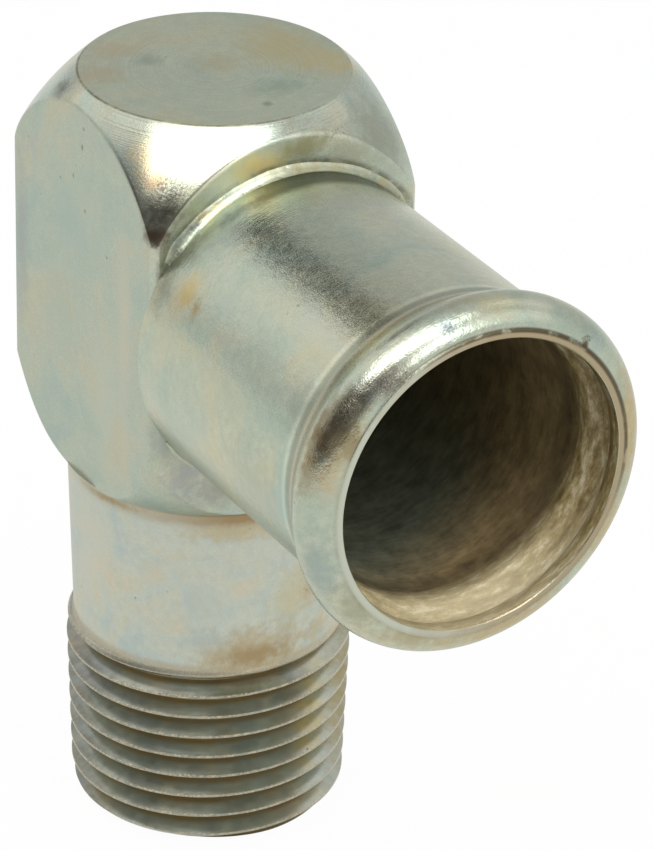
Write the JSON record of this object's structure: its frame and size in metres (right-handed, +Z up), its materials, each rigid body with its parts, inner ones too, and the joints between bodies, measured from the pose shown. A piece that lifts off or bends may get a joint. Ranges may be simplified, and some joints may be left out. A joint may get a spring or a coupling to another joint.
{
  "type": "heater hose fitting",
  "caption": "Right angle heater hose fitting: square turned steel body, male taper pipe thread below, beaded hose tube to the side, zinc plated.",
  "frame": {"origin": "centre of the open thread end, on the thread's axis", "axes": "+Z up along the thread's axis towards the crown, the hose tube points along -Y, X across the two side flats"},
  "size_m": [0.0212, 0.0384, 0.0475],
  "materials": {
    "zinc_plated_steel": "satin zinc plate with a clear chromate, slightly iridescent"
  },
  "bodies": {
    "root": {"hose_fitting": "zinc_plated_steel"}
  },
  "joints": []
}
